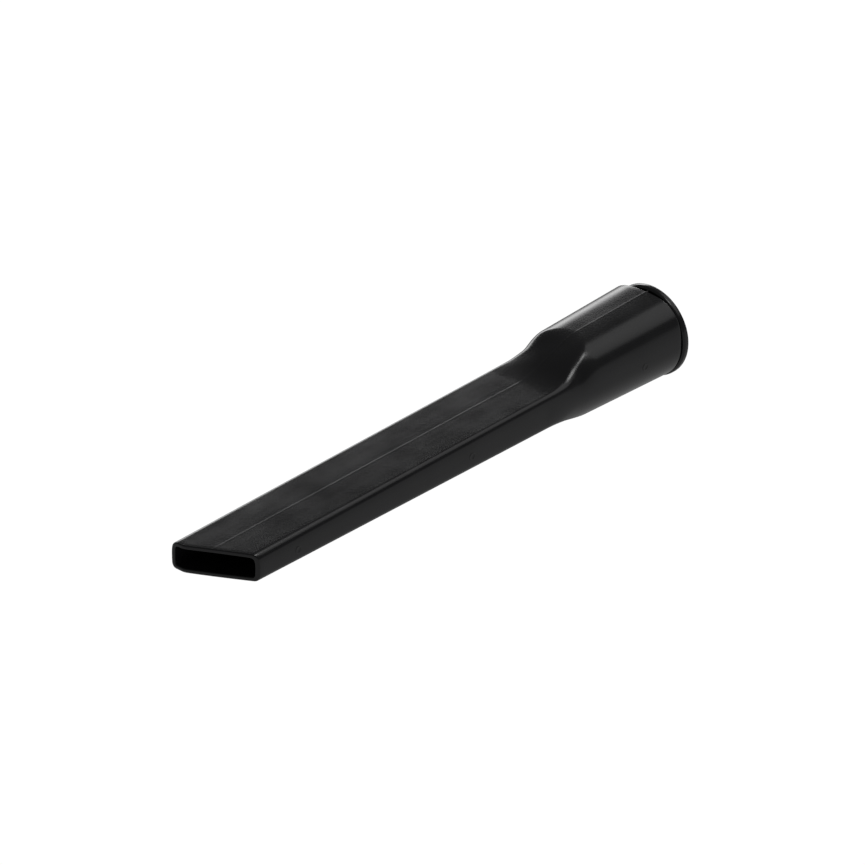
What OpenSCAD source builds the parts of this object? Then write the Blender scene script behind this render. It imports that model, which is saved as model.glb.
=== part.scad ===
// Crevice tool for a vacuum cleaner: a flat, mitred blade that swells into a round push-on socket.
// Two half shells meet on the centre plane in a lap joint, and a flanged bush lines the socket.
// Origin: centre of the socket's open end. +Y leaves the socket, +Z is up, the blade points along -Y.

/* [Overall] */
// Length from the tip of the mouth to the open end of the socket
total_length = 280; // [240:1:320]
// Wall thickness of the two shells
wall = 1.8; // [1.6:0.1:2.2]

/* [Blade] */
// Outer width of the blade at the mouth
mouth_width = 35.4; // [34:0.2:38]
// Outer height of the blade at the mouth, on the centre line
mouth_height = 13; // [12.5:0.5:16]
// Outer height of the blade where the scoop begins, on the centre line
root_height = 16.4; // [15:0.2:18]
// How much lower each face is at its long edges than on the centre line
crown = 0.5; // [0:0.1:1]
// Sharpness of the blade's long edges: a higher number is sharper
edge_power = 10; // [8:1:16]
// Width of the mouth's square nose, at the tip
nose_width = 7; // [0:0.5:10]
// Angle between the rest of the mouth's cut and a square cut
mouth_angle = 28.5; // [10:0.5:35]

/* [Scoop] */
// Distance from the socket's open end to the foot of the scoop
scoop_foot = 88; // [84:1:95]
// Slope of the scoop's ramp on the centre line
scoop_slope = 20; // [16:1:26]
// Radius that blends the blade's face into the ramp on the centre line
scoop_radius = 40; // [20:5:60]
// How much later than on the centre line the upper ramp begins at the blade's edges
edge_delay = 14; // [0:1:16]
// Slope of the upper ramp at the blade's edges
edge_slope = 35; // [20:1:40]
// Radius that blends the blade's face into the upper ramp at the edges
edge_radius = 15; // [10:5:40]

/* [Socket] */
// Diameter of the bore that the wand pushes into
bore_d = 32; // [31:0.5:33]
// Depth of the bore, down to the wand's stop
bore_depth = 40; // [30:1:42]
// Outer width of the shells at the socket's end, where the lower half is round
socket_d = 40.2; // [39.6:0.1:40.6]
// Height of the socket's flattened top above the axis
socket_top = 19; // [18.6:0.1:19.4]
// Squareness of the socket's upper half: 2 is round
top_power = 3.4; // [2.5:0.1:4]
// Angle by which each side of the socket flares towards its end
socket_flare = 1.5; // [1:0.1:1.6]
// Radius of the rounded outer edge at the shells' end
socket_end_radius = 1; // [0.6:0.1:1.2]
// Diameter of the hole in the wand's stop
stop_hole_d = 30; // [29.2:0.2:30.6]
// Thickness of the wand's stop along the socket
stop_width = 2.5; // [1.5:0.5:4]

/* [End ring] */
// Outer diameter of the ring
ring_d = 42; // [41:0.2:43]
// Width of the ring along the socket
ring_width = 3.6; // [3.4:0.2:5]
// Radius of the ring's two outer edges
ring_edge_radius = 1.2; // [0.6:0.1:1.5]
// Gap between the ring and the ends of the shells
groove_width = 0.6; // [0.5:0.1:1.5]
// Thickness of the sleeve that lines the socket
sleeve_wall = 1; // [0.8:0.1:1.1]

/* [Lap joint] */
// How far the left shell's lip reaches under the right shell
lip_reach = 1.2; // [0.6:0.1:2]
// Room left around the lip and the sleeve
fit_gap = 0.05; // [0.03:0.01:0.1]

/* [Hidden] */
plastic = [0.09, 0.09, 0.09];
// Points along half a section, and along the rounded end of a shell
section_steps = 30;
end_steps = 3;
// Spacing of the sections along the scoop, and the length of the small slopes beside the stop
scoop_spacing = 2.5;
stop_slope = 0.25;
// How much larger than the blade's half width its sides' radius is, where they are flat
flat_side_ratio = 1.3;

shell_start = ring_width + groove_width;
sleeve_r = bore_d / 2 + sleeve_wall;
seat_r = (sleeve_r + fit_gap) / cos(90 / section_steps);
seat_end = bore_depth + fit_gap;
stop_end = seat_end + stop_slope + stop_width;
duct_start = stop_end + stop_slope;
half_mouth = mouth_height / 2;
half_root = root_height / 2;
root_half_width = cone_radius(scoop_foot);

// Radius of the socket's outer wall at a distance from its open end
function cone_radius(distance) = socket_d / 2 - (distance - shell_start) * tan(socket_flare);

// Share of the blade's length that lies behind a place on it: 0 at the scoop's foot, 1 at the tip
function along_blade(distance) = (distance - scoop_foot) / (total_length - scoop_foot);

function half_width(distance) =
    distance < scoop_foot ? cone_radius(distance)
    : root_half_width + (mouth_width / 2 - root_half_width) * along_blade(distance);

// Height of a face above the axis, lowered by drop: tapering blade, blending curve, then straight ramp
function ramp_height(distance, foot, slope, radius, drop) =
    let (
        begin = foot - radius * sin(slope),
        rise = radius * (1 - cos(slope))
    )
    (distance > foot ? half_root + (half_mouth - half_root) * along_blade(max(distance, scoop_foot))
        : distance > begin ? half_root + radius - sqrt(pow(radius, 2) - pow(foot - distance, 2))
        : half_root + rise + (begin - distance) * tan(slope)) - drop;

function half_height(distance) = ramp_height(distance, scoop_foot, scoop_slope, scoop_radius, 0);

// Height of the face at the blade's edge, where the upper ramp starts later and rises more steeply
function edge_height(distance, upper) =
    upper ? ramp_height(distance, scoop_foot - edge_delay, edge_slope, edge_radius, crown)
    : half_height(distance) - crown;

// 0 where the blade's sides are flat, 1 where the section is the socket's full outline
function roundness(distance) =
    let (share = max(0, min(1, (distance - stop_end) / (scoop_foot - stop_end))))
    pow(1 + (flat_side_ratio - 1) * share, -edge_power);

// The socket's outline: half a circle below the axis, a squarer curve above it
function outline_radius(width, top, angle) =
    angle <= 0 ? width
    : pow(pow(abs(cos(angle)) / width, top_power) + pow(sin(angle) / top, top_power), -1 / top_power);

// Height of a crowned face where a line at this angle from the axis meets it
function face_height(distance, angle, inset) =
    let (
        middle = half_height(distance),
        across = middle * abs(cos(angle)) / max(abs(sin(angle)), 0.01),
        share = pow(min(1, across / half_width(distance)), 2)
    )
    middle + (edge_height(distance, angle > 0) - middle) * share - inset;

// Distance from the axis to the wall at an angle, for a surface that lies inset below the outer one.
// The high power makes a rounded meeting of the flat sides, the faces and the socket's outline.
function wall_radius(distance, angle, inset) =
    let (
        width = half_width(distance) - inset,
        height = face_height(distance, angle, inset),
        outline = outline_radius(width, socket_top - inset, angle),
        round_share = roundness(distance)
    )
    width * pow(
        (1 - round_share) * pow(abs(cos(angle)), edge_power)
            + round_share * pow(width / outline, edge_power)
            + pow(abs(sin(angle)) * width / height, edge_power),
        -1 / edge_power
    );

// Angle of point number step, spread so that a flat section gets its points near its corners
function section_angle(distance, step) =
    let (
        spread = 90 - 180 * step / section_steps,
        squash = min(1, half_height(distance) / half_width(distance))
    )
    atan2(squash * sin(spread), cos(spread));

// The mouth's cut, square and then slanting: distance from the open end at a place across the blade
function on_mouth_cut(x) = total_length - max(0, x + mouth_width / 2 - nose_width) * tan(mouth_angle);

// A station is [distance, outer inset, bore radius, is the mouth]; a bore radius of 0 means the duct
stations = concat(
    [for (step = [0:end_steps]) let (turn = 90 * step / end_steps) [
        shell_start + socket_end_radius * (1 - cos(turn)),
        socket_end_radius * (1 - sin(turn)),
        seat_r,
        false,
    ]],
    [
        [seat_end, 0, seat_r, false],
        [seat_end + stop_slope, 0, stop_hole_d / 2, false],
        [stop_end, 0, stop_hole_d / 2, false],
    ],
    [for (distance = [duct_start:scoop_spacing:scoop_foot]) [distance, 0, 0, false]],
    [
        [scoop_foot + scoop_spacing, 0, 0, false],
        [total_length, 0, 0, true],
    ]
);

function outer_radius(station, angle) = wall_radius(station[0], angle, station[1]);
function inner_radius(station, angle) = station[2] > 0 ? station[2] : wall_radius(station[0], angle, wall);

// Angle from the axis to the place, lip_across beyond the centre plane, where a shell's inner wall begins
function lip_angle(station, lip_across, upright) = 90 - atan(lip_across / inner_radius(station, upright));

// Height of the step between the lapping halves of the wall, above the axis or below it
function lap_height(station, upright, shift) =
    (outer_radius(station, upright) + inner_radius(station, upright)) / 2 + shift;

// One shell's section as a loop of [x, z]: outer wall, lower joint, inner wall, upper joint.
// side is 1 for the right shell; its joint is cut back where the left shell's lip lies.
function shell_loop(station, side) =
    let (
        across = side > 0 ? lip_reach + fit_gap : -lip_reach,
        upper = lap_height(station, 90, side * fit_gap / 2),
        lower = lap_height(station, -90, side * fit_gap / 2),
        outer = [for (step = [0:section_steps])
            let (angle = section_angle(station[0], step), r = outer_radius(station, angle))
            [r * cos(angle), r * sin(angle)]],
        inner = [for (step = [0:section_steps])
            let (
                full = station[2] > 0 ? 90 - 180 * step / section_steps : section_angle(station[0], step),
                angle = -full * lip_angle(station, across, full > 0 ? -90 : 90) / 90,
                r = inner_radius(station, angle)
            )
            [r * cos(angle), r * sin(angle)]]
    )
    concat(outer, [[0, -lower], [across, -lower]], inner, [[across, upper], [0, upper]]);

function place_loop(station, side) = [for (p = shell_loop(station, side))
    let (x = side * p.x) [x, -(station[3] ? on_mouth_cut(x) : station[0]), p.y]];

// A shell's end face as pieces that each fan out cleanly from their first point
function cap_faces(side) =
    let (
        n = section_steps,
        lower_step = [n + 1, n + 2],
        upper_step = [2 * n + 4, 2 * n + 5],
        upper_rest = [0, 1, 2 * n + 2, 2 * n + 3],
        lower_rest = [n + 3, n + 4, n - 1, n]
    )
    concat(
        [for (i = [1:n - 2]) [i, i + 1, 2 * n + 2 - i, 2 * n + 3 - i]],
        side > 0
            ? [concat(upper_step, upper_rest), concat([lower_step[1]], lower_rest, [lower_step[0]])]
            : [concat([upper_step[1]], upper_rest, [upper_step[0]]), concat(lower_step, lower_rest)]
    );

// The same face seen from its other side, with its first point still first
function flip(face) = concat([face[0]], [for (i = [len(face) - 1:-1:1]) face[i]]);

module shell(side) {
    loops = [for (station = stations) place_loop(station, side)];
    count = len(loops[0]);
    last = len(loops) - 1;
    points = [for (loop = loops) for (p = loop) p];
    walls = [for (band = [0:last - 1]) for (i = [0:count - 1])
        let (
            a = band * count + i,
            b = band * count + (i + 1) % count,
            c = a + count,
            d = b + count
        )
        each [[a, b, d], [a, d, c]]];
    start_cap = [for (face = cap_faces(side)) flip(face)];
    mouth_cap = [for (face = cap_faces(side)) for (i = [1:len(face) - 2])
        [for (point = [face[0], face[i], face[i + 1]]) last * count + point]];
    faces = concat(walls, start_cap, mouth_cap);
    polyhedron(points, side > 0 ? faces : [for (face = faces) flip(face)]);
}

module left_shell() {
    color(plastic) shell(-1);
}

module right_shell() {
    color(plastic) shell(1);
}

module end_ring() {
    outer = ring_d / 2;
    corner = outer - ring_edge_radius;
    color(plastic) rotate([90, 0, 0]) rotate_extrude($fn = 96) difference() {
        union() {
            square([sleeve_r, bore_depth]);
            square([corner, ring_width]);
            translate([0, ring_edge_radius]) square([outer, ring_width - 2 * ring_edge_radius]);
            for (edge = [ring_edge_radius, ring_width - ring_edge_radius])
                translate([corner, edge]) circle(r = ring_edge_radius, $fn = 48);
        }
        translate([0, -1]) square([bore_d / 2, bore_depth + 2]);
    }
}

left_shell();
right_shell();
end_ring();
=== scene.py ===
"""Crevice tool for a vacuum cleaner, in semi-gloss black plastic, on a plain white floor."""

import math

import bpy
import numpy as np
from mathutils import Matrix, Vector


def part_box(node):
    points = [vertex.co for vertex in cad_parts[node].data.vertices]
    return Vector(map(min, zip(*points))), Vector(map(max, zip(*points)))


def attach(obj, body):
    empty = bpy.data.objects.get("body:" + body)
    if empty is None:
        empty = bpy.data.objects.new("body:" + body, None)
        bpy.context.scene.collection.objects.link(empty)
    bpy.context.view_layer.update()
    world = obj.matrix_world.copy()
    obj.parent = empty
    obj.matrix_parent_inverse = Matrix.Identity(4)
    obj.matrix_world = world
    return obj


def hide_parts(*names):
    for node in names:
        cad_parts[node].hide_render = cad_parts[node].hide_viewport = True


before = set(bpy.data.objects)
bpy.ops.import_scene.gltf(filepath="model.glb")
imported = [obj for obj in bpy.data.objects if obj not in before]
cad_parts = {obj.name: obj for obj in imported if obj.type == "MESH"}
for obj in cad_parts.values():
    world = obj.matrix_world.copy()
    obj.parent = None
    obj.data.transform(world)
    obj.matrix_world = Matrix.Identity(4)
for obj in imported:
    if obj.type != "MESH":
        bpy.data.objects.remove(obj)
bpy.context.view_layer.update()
MM = 0.001

# ---------- sizes, in millimetres ----------
# d is the distance from the ring's open face, along -Y, toward the mouth
shell_low, shell_high = (np.array(c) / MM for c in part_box("left_shell"))
ring_low, ring_high = (np.array(c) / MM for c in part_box("end_ring"))
LENGTH = -shell_low[1] - 0.3        # a little short of the CAD's mouth
RING_R = ring_high[0]
SHELL_START = -shell_high[1]
GROOVE = 0.6
RING_WIDTH = SHELL_START - GROOVE
RING_EDGE_R = 1.2
SLEEVE_DEPTH = -ring_low[1]
SLEEVE_R = 17.0
SLEEVE_GAP = 0.05
BORE_R = 16.0
STOP_R = 15.0
STOP_END = 42.8
STEP = 0.3                          # length over which an inner radius changes
WALL = 1.8
END_R = 0.9                         # rounding of the shells' end beside the groove
LIP_R = 0.55                        # rounding of the mouth's outer lip

# socket: half-width, height of its top, and how square the top is on each side
SOCKET_R = 20.3
SOCKET_TOP = 19.8
TOP_FALL = 0.03
TOP_POWER = {-1: 3.45, 1: 2.7}
SQUARE_END, SQUARE_FADE = 68, 13
CREASE = 0.03                       # slight ridge along the top's centre
SHOULDER = 1.3                      # rounding where blade and socket meet
SCOOP_SHOULDER = 0.2
SCOOP_SHOULDER_AT, SCOOP_SHOULDER_SPREAD = 65, 12

# blade: half-width and half-height where it starts (FOOT) and at the mouth
FOOT = 88.5
ROOT_HALF = 18.05
MOUTH_HALF = 17.7
HALF_ROOT = 8.0
HALF_MOUTH = 6.3
CROWN = 0.2
FILLET = 2.45
MIN_FILLET = 0.4
BLEND_START, BLEND_LENGTH = 66, 26  # where the socket's outline gives way to the blade's
BLEND_MARGIN = 0.06
MOUTH_SLANT = math.tan(math.radians(28.5))
NOSE = 7.0                          # width of the mouth's square part
NOSE_ROUND = 1.0

# scoop: slope in degrees and blending radius, on the centre line and at the blade's edges
SCOOP_SLOPE, SCOOP_RADIUS = 20, 39
EDGE_FOOT, EDGE_SLOPE, EDGE_RADIUS = 76, 36, 15
LOWER_LEAD = 2.5                    # the lower face rises this much nearer the socket

SEAM_HEIGHT = 0.032
SEAM_HALF = 0.3
SEAM_GAIN = 0.35                    # the seam stands this share higher on the blade
SEAM_GAIN_START, SEAM_GAIN_LENGTH = 60, 10


def clamp(value):
    return min(1, max(0, value))


def smooth(value):
    t = clamp(value)
    return t * t * (3 - 2 * t)


def socket_width(d):
    return SOCKET_R + (ROOT_HALF - SOCKET_R) * (d - SHELL_START) / (FOOT - SHELL_START)


def blade_share(d):
    return (d - FOOT) / (LENGTH - FOOT)


def half_width(d):
    if d < FOOT:
        return socket_width(d)
    return ROOT_HALF + (MOUTH_HALF - ROOT_HALF) * blade_share(d)


def ramp(d, base, foot, slope, radius):
    """Height of a face: tapering blade, blending curve, then straight ramp."""
    slope = math.radians(slope)
    begin = foot - radius * math.sin(slope)
    if d > foot:
        return base + (HALF_MOUTH - HALF_ROOT) * max(0, blade_share(d))
    if d > begin:
        return base + radius - math.sqrt(radius ** 2 - (foot - d) ** 2)
    return base + radius * (1 - math.cos(slope)) + (begin - d) * math.tan(slope)


def middle_height(d):
    return ramp(d, HALF_ROOT + CROWN, FOOT, SCOOP_SLOPE, SCOOP_RADIUS)


def lower_height(d):
    return ramp(d, HALF_ROOT + CROWN, FOOT - LOWER_LEAD, SCOOP_SLOPE, SCOOP_RADIUS)


def edge_height(d):
    return ramp(d, HALF_ROOT, EDGE_FOOT, EDGE_SLOPE, EDGE_RADIUS)


def smooth_max(a, b, r):
    """Larger of two distances, with a round of radius r where they meet."""
    u, v = np.maximum(a + r, 0), np.maximum(b + r, 0)
    return np.minimum(np.maximum(a, b) + r, 0) + np.hypot(u, v) - r


def outside(x, z, d, inset, side):
    """Distance outside the section at d, for a surface inset below the outer one."""
    width = half_width(d) - inset
    share = smooth((d - BLEND_START) / BLEND_LENGTH)
    middle = np.where(z > 0, middle_height(d), lower_height(d))
    edge = np.where(z > 0, edge_height(d), lower_height(d) - CROWN)
    face = middle + (edge - middle) * (x / width) ** 2 - inset
    fillet = max(FILLET - inset * 0.7, MIN_FILLET)
    blade = smooth_max(x - width - (1 - share), np.abs(z) - face, fillet)
    radius = np.hypot(x, z) + 1e-9
    aside, up = x / radius, np.clip(z / radius, 0, 1)
    power = 2.0 + (TOP_POWER[side] - 2.0) * smooth((SQUARE_END - d) / SQUARE_FADE)
    top = SOCKET_TOP - (d - SHELL_START) * TOP_FALL - inset
    squared = ((aside / width) ** power + (up / top) ** power) ** (-1 / power)
    outline = np.where(z > 0, squared * (1 - CREASE * aside * up ** 4), width)
    nearness = math.exp(-((d - SCOOP_SHOULDER_AT) / SCOOP_SHOULDER_SPREAD) ** 2)
    return smooth_max(blade, radius - outline * (1 + BLEND_MARGIN * share),
                      SHOULDER + SCOOP_SHOULDER * nearness)


def wall_radius(d, angle, inset, side, seam=0.0):
    """Distance from the axis to the wall at each angle, found by halving."""
    c, s = np.abs(np.cos(angle)), np.sin(angle)
    low, high = np.zeros_like(c), np.full_like(c, 30.0)
    for _ in range(24):
        r = (low + high) / 2
        out = outside(r * c, r * s, d, inset, side) > 0
        low, high = np.where(out, low, r), np.where(out, r, high)
    return r + seam * np.exp(-((r * c) / SEAM_HALF) ** 2)


def cut_distance(x, d):
    """Leans the blade's sections toward the mouth's slanting cut; the others stay square."""
    if d <= FOOT:
        return np.full_like(x, d)
    share = blade_share(d)
    slanting = x + MOUTH_HALF - NOSE
    return d - share * (slanting + np.hypot(slanting, NOSE_ROUND)) / 2 * MOUTH_SLANT


# angles round half a section, close together at the seams and at the blade's edges
near_seam = [0, 0.1, 0.2, 0.3, 0.42, 0.56, 0.75, 1.1, 1.8, 2.6]
spread = [90 - math.degrees(math.atan(x / MOUTH_HALF)) for x in near_seam]
spread += [*np.arange(79, 60, -2.2), *np.arange(60, 28, -1.2), *np.arange(28, 1, -2.4)]
SPREAD = np.radians(np.array(spread + [0] + [-a for a in reversed(spread)]))


def section(d, inset, bore, side):
    """Half a section as x and z, from the top of the centre plane round to the bottom."""
    squash = min(1, middle_height(d) / half_width(d))
    angle = np.arctan2(squash * np.sin(SPREAD), np.cos(SPREAD))
    if bore:
        angle = SPREAD
        r = np.full_like(angle, bore)
    else:
        gain = 1 + SEAM_GAIN * clamp((d - SEAM_GAIN_START) / SEAM_GAIN_LENGTH)
        seam = SEAM_HEIGHT * max(0, 1 - inset / 0.5) * gain
        r = wall_radius(d, angle, inset, side, seam)
    x, z = r * np.cos(angle), r * np.sin(angle)
    x[0] = x[-1] = 0
    return x, z


# a station is (distance, outer inset, inner inset or None, bore radius)
sleeve_room = SLEEVE_R + SLEEVE_GAP
stations = []
for turn in np.linspace(0, math.pi / 2, 9):
    stations.append((SHELL_START + END_R * (1 - math.cos(turn)),
                     END_R * (1 - math.sin(turn)), None, sleeve_room))
for d in np.arange(SHELL_START + 3, SLEEVE_DEPTH, 3):
    stations.append((d, 0, None, sleeve_room))
stations += [(SLEEVE_DEPTH + SLEEVE_GAP, 0, None, sleeve_room),
             (SLEEVE_DEPTH + STEP, 0, None, STOP_R),
             (STOP_END, 0, None, STOP_R),
             (STOP_END + STEP, 0, WALL, 0)]
for d in [*np.arange(44, FOOT + 4, 0.7), *np.linspace(FOOT + 5, LENGTH - 3, 40)]:
    stations.append((d, 0, WALL, 0))
for turn in np.linspace(0, math.pi / 2, 7):
    inset = LIP_R * (1 - math.cos(turn))
    stations.append((LENGTH - LIP_R * (1 - math.sin(turn)), inset, WALL - inset, 0))


def make_mesh(name, verts, faces):
    mesh = bpy.data.meshes.new(name)
    mesh.from_pydata([tuple(v) for v in verts], [], faces)
    mesh.validate()
    mesh.polygons.foreach_set("use_smooth", [True] * len(mesh.polygons))
    mesh.set_sharp_from_angle(angle=math.radians(40))
    mesh.update()
    obj = bpy.data.objects.new(name, mesh)
    bpy.context.scene.collection.objects.link(obj)
    return obj


def build_half(name, side):
    """One shell: a closed loft of half-sections, outer wall first and inner wall back."""
    verts, faces = [], []
    half = len(SPREAD)
    count = 2 * half
    for d, inset, inner_inset, bore in stations:
        ox, oz = section(d, inset, 0, side)
        ix, iz = section(d, inner_inset if inner_inset is not None else 0, bore, side)
        x = side * np.concatenate([ox, ix[::-1]])
        z = np.concatenate([oz, iz[::-1]])
        y = -cut_distance(x, d)
        verts += list(np.stack([x, y, z], axis=1) * MM)
    for k in range(len(stations) - 1):
        for i in range(count):
            a, b = k * count + i, k * count + (i + 1) % count
            faces.append((a, b, b + count, a + count))
    last = (len(stations) - 1) * count
    for i in range(half - 1):
        faces.append((i, count - 1 - i, count - 2 - i, i + 1))
        faces.append((last + i, last + i + 1, last + count - 2 - i, last + count - 1 - i))
    if side < 0:
        faces = [f[::-1] for f in faces]
    return make_mesh(name, verts, faces)


def lathe(name, profile, steps=160, centre=(0, 0, 0), axis="Y"):
    """Turns a closed profile of (radius, height) about an axis."""
    verts, faces = [], []
    n = len(profile)
    for k in range(steps):
        t = 2 * math.pi * k / steps
        for r, h in profile:
            if axis == "Y":
                p = (r * math.cos(t), h, r * math.sin(t))
            else:
                p = (h, r * math.cos(t), r * math.sin(t))
            verts.append(tuple((p[i] + centre[i]) * MM for i in range(3)))
    for k in range(steps):
        for i in range(n):
            a, b = k * n + i, k * n + (i + 1) % n
            c, d = (k + 1) % steps * n + (i + 1) % n, (k + 1) % steps * n + i
            faces.append((a, d, c, b) if axis == "Y" else (a, b, c, d))
    return make_mesh(name, verts, faces)


def arc(cr, ch, r, start, end, steps=8):
    """Points of an arc in a profile, from start to end in degrees."""
    turns = [math.radians(start + (end - start) * k / steps) for k in range(steps + 1)]
    return [(cr + r * math.cos(t), ch + r * math.sin(t)) for t in turns]


left = build_half("shell_left", -1)
right = build_half("shell_right", 1)
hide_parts("left_shell")
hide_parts("right_shell")

ring_profile = (
    arc(RING_R - RING_EDGE_R, -RING_EDGE_R, RING_EDGE_R, 90, 0)
    + arc(RING_R - RING_EDGE_R, -RING_WIDTH + RING_EDGE_R, RING_EDGE_R, 0, -90)
    + [(SLEEVE_R + 0.4, -RING_WIDTH), (SLEEVE_R, -RING_WIDTH - 0.4)]
    + arc(SLEEVE_R - 0.4, -SLEEVE_DEPTH + 0.4, 0.4, 0, -90, 4)
    + arc(BORE_R + 0.3, -SLEEVE_DEPTH + 0.3, 0.3, -90, -180, 4)
    + arc(BORE_R + 0.5, -0.5, 0.5, 180, 90, 5)
)
ring = lathe("ring", ring_profile)
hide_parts("end_ring")

# ---------- small round witness marks on the right-hand wall ----------
MARK_SINK = 0.02
mark_profile = [(0.001, 0.02), (0.95, 0.02), (1.15, 0.05), (1.3, 0.14), (1.45, 0.17),
                (1.6, 0.12), (1.72, 0), (1.72, -0.4), (0.001, -0.4)]
marks = []
for index, (y, z) in enumerate([(-27.3, -0.9), (-135.6, -0.6), (-241.3, -0.6)]):
    angle = math.atan2(z, half_width(-y))
    wall_x = float(wall_radius(-y, np.array([angle]), 0, 1)[0])
    marks.append(lathe(f"mark_{index + 1}", mark_profile, 40, (wall_x - MARK_SINK, y, z), "X"))

# ---------- the seam's nib across the groove ----------
NIB_HALF, NIB_HEIGHT, NIB_BASE, NIB_FOOT = 0.45, 0.35, SOCKET_TOP - 0.25, 17.2
NIB_STEPS, NIB_ROWS = 10, 7
nib_v, nib_f = [], []
for y in np.linspace(-SHELL_START - 1.0, -RING_WIDTH + 0.8, NIB_ROWS):
    for i in range(NIB_STEPS + 1):
        t = math.pi * i / NIB_STEPS
        nib_v.append((NIB_HALF * math.cos(t) * MM, y * MM,
                      (NIB_BASE + NIB_HEIGHT * math.sin(t)) * MM))
    nib_v += [(-NIB_HALF * MM, y * MM, NIB_FOOT * MM), (NIB_HALF * MM, y * MM, NIB_FOOT * MM)]
row = NIB_STEPS + 3
last = NIB_ROWS - 1
for k in range(last):
    for i in range(row):
        a, b = k * row + i, k * row + (i + 1) % row
        nib_f.append((a, b, b + row, a + row))
nib_f.append(tuple(range(row))[::-1])
nib_f.append(tuple(last * row + i for i in range(row)))
nib = make_mesh("seam_nib", nib_v, nib_f)

# ---------- materials ----------
BLACK = (0.010, 0.010, 0.011)
PEEL_STRENGTH = 0.0045


def plastic(name, rough, streak):
    """Black moulded plastic: cloudy colour and roughness, fine streaks, a very fine peel."""
    mat = bpy.data.materials.new(name)
    mat.use_nodes = True
    nt = mat.node_tree
    nt.nodes.clear()
    out = nt.nodes.new("ShaderNodeOutputMaterial")
    bsdf = nt.nodes.new("ShaderNodeBsdfPrincipled")
    nt.links.new(bsdf.outputs[0], out.inputs[0])
    bsdf.inputs["IOR"].default_value = 1.45
    coord = nt.nodes.new("ShaderNodeTexCoord")

    def noise(scale, detail, stretch=(1, 1, 1)):
        mapping = nt.nodes.new("ShaderNodeMapping")
        mapping.inputs["Scale"].default_value = stretch
        nt.links.new(coord.outputs["Object"], mapping.inputs[0])
        node = nt.nodes.new("ShaderNodeTexNoise")
        node.inputs["Scale"].default_value = scale
        node.inputs["Detail"].default_value = detail
        nt.links.new(mapping.outputs[0], node.inputs["Vector"])
        return node.outputs[0]

    def spread_to(value, low, high, a, b):
        node = nt.nodes.new("ShaderNodeMapRange")
        for i, v in enumerate((low, high, a, b), 1):
            node.inputs[i].default_value = v
        nt.links.new(value, node.inputs[0])
        return node.outputs[0]

    cloudy = noise(60, 3)
    colour = nt.nodes.new("ShaderNodeMix")
    colour.data_type = "RGBA"
    colour.inputs[6].default_value = (*[c * 0.85 for c in BLACK], 1)
    colour.inputs[7].default_value = (*[c * 1.15 for c in BLACK], 1)
    nt.links.new(spread_to(cloudy, 0.35, 0.65, 0, 1), colour.inputs[0])
    nt.links.new(colour.outputs[2], bsdf.inputs["Base Color"])

    streaks = noise(350, 2, (1, 0.06, 1))
    add = nt.nodes.new("ShaderNodeMath")
    add.operation = "ADD"
    nt.links.new(spread_to(cloudy, 0.3, 0.7, rough - 0.03, rough + 0.03), add.inputs[0])
    nt.links.new(spread_to(streaks, 0.3, 0.7, -0.03 * streak, 0.03 * streak), add.inputs[1])
    nt.links.new(add.outputs[0], bsdf.inputs["Roughness"])

    fine = noise(1800, 2)
    bump = nt.nodes.new("ShaderNodeBump")
    bump.inputs["Strength"].default_value = PEEL_STRENGTH
    bump.inputs["Distance"].default_value = 0.00006
    nt.links.new(fine, bump.inputs["Height"])
    nt.links.new(bump.outputs[0], bsdf.inputs["Normal"])
    return mat


body_plastic = plastic("body_plastic", 0.22, 0.5)
ring_plastic = plastic("ring_plastic", 0.20, 0.2)
for obj in (left, right, nib, *marks):
    obj.data.materials.append(body_plastic)
    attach(obj, "root")
ring.data.materials.append(ring_plastic)
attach(ring, "root")

# ---------- floor: white to the camera, dimmer in reflections ----------
FLOOR_Z = ring_low[2] * MM
SIZE = 6.0
FLOOR_SEEN = 1.02
FLOOR_REFLECTED = 0.37
corners = [(-SIZE, -SIZE), (SIZE, -SIZE), (SIZE, SIZE), (-SIZE, SIZE)]
floor = make_mesh("floor", [(x, y, FLOOR_Z) for x, y in corners], [(0, 1, 2, 3)])
fmat = bpy.data.materials.new("floor")
fmat.use_nodes = True
nt = fmat.node_tree
nt.nodes.clear()
out = nt.nodes.new("ShaderNodeOutputMaterial")
em = nt.nodes.new("ShaderNodeEmission")
em.inputs["Strength"].default_value = FLOOR_SEEN
path = nt.nodes.new("ShaderNodeLightPath")
dim = nt.nodes.new("ShaderNodeEmission")
dim.inputs["Strength"].default_value = FLOOR_REFLECTED
mix = nt.nodes.new("ShaderNodeMixShader")
nt.links.new(path.outputs["Is Camera Ray"], mix.inputs[0])
nt.links.new(dim.outputs[0], mix.inputs[1])
nt.links.new(em.outputs[0], mix.inputs[2])
nt.links.new(mix.outputs[0], out.inputs[0])
floor.data.materials.append(fmat)

# ---------- camera ----------
AZ, EL = math.radians(42.63), math.radians(29.32)
back = Vector((math.sin(AZ) * math.cos(EL), -math.cos(AZ) * math.cos(EL), math.sin(EL)))
rightv = Vector((math.cos(AZ), math.sin(AZ), 0))
up = Vector((-math.sin(AZ) * math.sin(EL), math.cos(AZ) * math.sin(EL), math.cos(EL)))
DIST = 3.23
VIEW_WIDTH = 374.0                  # millimetres across the picture, at the ring
SENSOR = 36
LEFT_OF_RING, BELOW_RING = 94.13, 44.62  # from the ring to the middle of the picture
cam_data = bpy.data.cameras.new("camera")
cam_data.lens = SENSOR * DIST / (VIEW_WIDTH * MM)
cam_data.sensor_width = SENSOR
cam = bpy.data.objects.new("camera", cam_data)
bpy.context.scene.collection.objects.link(cam)
ring_centre = Vector((0, -RING_WIDTH / 2 * MM, 0))
target = ring_centre - rightv * LEFT_OF_RING * MM - up * BELOW_RING * MM
turned = Matrix([[rightv[i], up[i], back[i]] for i in range(3)]).to_4x4()
cam.matrix_world = Matrix.Translation(target + back * DIST) @ turned
cam_data.clip_end = 50
bpy.context.scene.camera = cam

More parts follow.
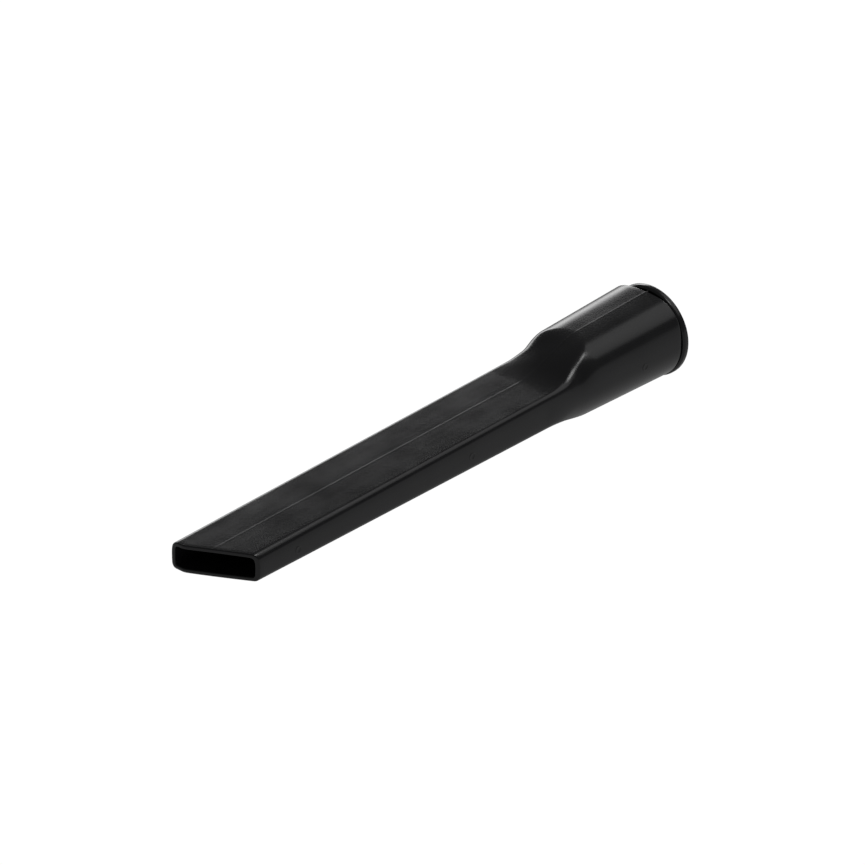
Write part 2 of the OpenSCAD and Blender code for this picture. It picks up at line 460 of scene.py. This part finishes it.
# ---------- world: pale near the horizon at the back left, dark above ----------
world = bpy.data.worlds.new("world")
bpy.context.scene.world = world
world.use_nodes = True
nt = world.node_tree
nt.nodes.clear()
out = nt.nodes.new("ShaderNodeOutputWorld")
bg = nt.nodes.new("ShaderNodeBackground")
nt.links.new(bg.outputs[0], out.inputs[0])
coord = nt.nodes.new("ShaderNodeTexCoord")
sep = nt.nodes.new("ShaderNodeSeparateXYZ")
nt.links.new(coord.outputs["Generated"], sep.inputs[0])
dot = nt.nodes.new("ShaderNodeVectorMath")
dot.operation = "DOT_PRODUCT"
dot.inputs[1].default_value = (-0.76, 0.65, 0)
nt.links.new(coord.outputs["Generated"], dot.inputs[0])


def mrange(src, lo, hi, a, b):
    node = nt.nodes.new("ShaderNodeMapRange")
    node.interpolation_type = "SMOOTHSTEP"
    for i, v in enumerate((lo, hi, a, b), 1):
        node.inputs[i].default_value = v
    nt.links.new(src, node.inputs[0])
    return node.outputs[0]


def math_node(op, a, b):
    node = nt.nodes.new("ShaderNodeMath")
    node.operation = op
    for i, v in enumerate((a, b)):
        if hasattr(v, "links"):
            nt.links.new(v, node.inputs[i])
        else:
            node.inputs[i].default_value = v
    return node.outputs[0]


GLOW, AMBIENT = 5.7, 0.15
top_edge = mrange(sep.outputs[2], 0.24, 0.405, 1.0, 0.0)
bottom_fade = mrange(sep.outputs[2], 0.0, 0.25, 0.3, 1.0)
behind = mrange(dot.outputs["Value"], 0.72, 0.9, 0.0, 1.0)
glow = math_node("MULTIPLY", math_node("MULTIPLY", top_edge, bottom_fade), behind)
level = math_node("ADD", math_node("MULTIPLY", glow, GLOW), AMBIENT)
nt.links.new(level, bg.inputs["Strength"])


def area_light(name, size, energy, place, aim):
    light = bpy.data.lights.new(name, "AREA")
    light.shape = "RECTANGLE"
    light.size, light.size_y = size
    light.energy = energy
    obj = bpy.data.objects.new(name, light)
    bpy.context.scene.collection.objects.link(obj)
    obj.location = place
    obj.rotation_euler = (Vector(aim) - obj.location).to_track_quat("-Z", "Y").to_euler()


area_light("key", (1.6, 1.2), 4.5, (0.45, 1.2, 1.33), (0, -0.1, 0))
area_light("top", (0.3, 0.3), 2, (0.3, 0.2, 1.0), (0, -0.02, 0))

bpy.context.scene.view_settings.view_transform = "Standard"
